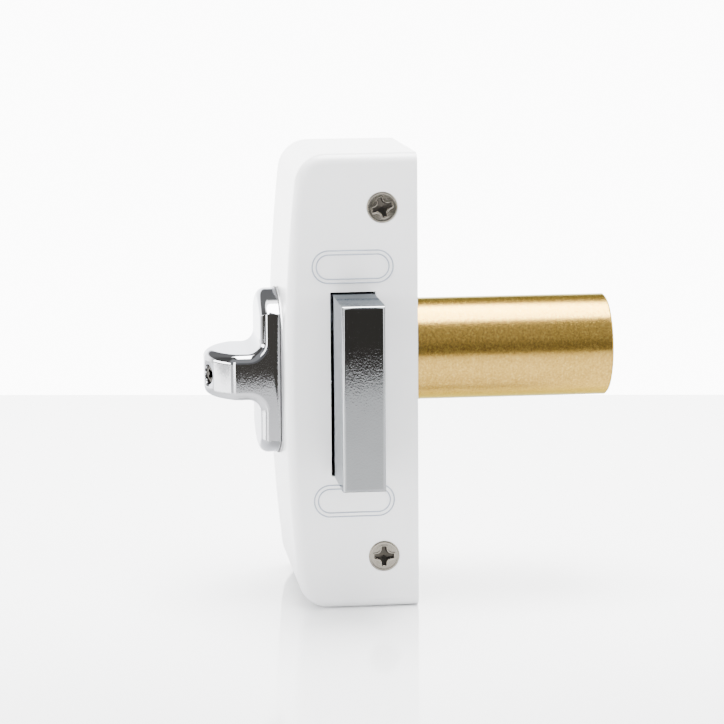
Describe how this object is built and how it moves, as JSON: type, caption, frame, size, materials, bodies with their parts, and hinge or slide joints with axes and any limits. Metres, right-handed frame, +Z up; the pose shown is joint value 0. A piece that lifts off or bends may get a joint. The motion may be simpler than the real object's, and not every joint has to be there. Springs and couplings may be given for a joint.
{
  "type": "rim deadbolt",
  "caption": "Surface-mounted rim deadbolt: white cast case, chrome thumb-turn on the room side, square-ended chrome bolt thrown sideways, and a round brass key cylinder through the door side.",
  "frame": {"origin": "the turning axis of the thumb-turn and plug where it crosses the door-side face, at the middle of the four door screws; the middle of the cylinder body is 5.2 mm above it", "axes": "+Y along the cylinder, away from the room; +Z up, along the long side of the case; +X the way the bolt is thrown"},
  "size_m": [0.084, 0.1193, 0.131],
  "materials": {
    "white_coat": "white powder coat, satin",
    "chrome": "polished chrome",
    "nickel": "nickel plated, satin",
    "zinc_steel": "zinc plated steel",
    "spring_steel": "oiled spring steel",
    "brass": "satin turned brass",
    "bronze": "plain bearing bronze",
    "black_nylon": "matt"
  },
  "bodies": {
    "case": {"case_cover": "white_coat", "base_plate": "zinc_steel", "cover_lugs": "zinc_steel", "cover_screws": "nickel", "upper_guide": "zinc_steel", "lower_guide": "zinc_steel", "guide_screws": "zinc_steel", "knob_bush": "bronze", "friction_washer": "spring_steel", "rosette": "chrome", "cylinder_body": "brass", "cylinder_screws": "zinc_steel", "driver_pins": "brass", "pin_springs": "spring_steel", "chamber_plugs": "brass"},
    "knob": {"thumb_turn": "chrome", "thumb_turn_screw": "nickel", "glide_washer": "black_nylon", "spindle": "zinc_steel", "quadrant_gear": "zinc_steel", "spindle_circlip": "spring_steel"},
    "deadbolt": {"bolt": "chrome", "bolt_rack": "zinc_steel", "rack_screws": "zinc_steel"},
    "plug": {"cylinder_plug": "brass", "key_pins": "brass", "plug_circlip": "spring_steel", "tailpiece": "zinc_steel", "tail_pin": "spring_steel"}
  },
  "joints": [
    {"name": "knob_turn", "type": "hinge", "parent": "case", "child": "knob", "pos_m": [0, -0.04, 0], "axis": [0, 1, 0], "range_deg": [-90, 0]},
    {"name": "bolt_throw", "type": "slide", "parent": "case", "child": "deadbolt", "axis": [1, 0, 0], "range_m": [-0.02514, 0]},
    {"name": "plug_turn", "type": "hinge", "parent": "case", "child": "plug", "pos_m": [0, 0.03, 0], "axis": [0, 1, 0], "range_deg": [-90, 0]}
  ],
  "couplings": [
    {"joint": "bolt_throw", "follows": "knob_turn", "m_per_rad": 0.016},
    {"joint": "plug_turn", "follows": "knob_turn", "ratio": 1}
  ]
}
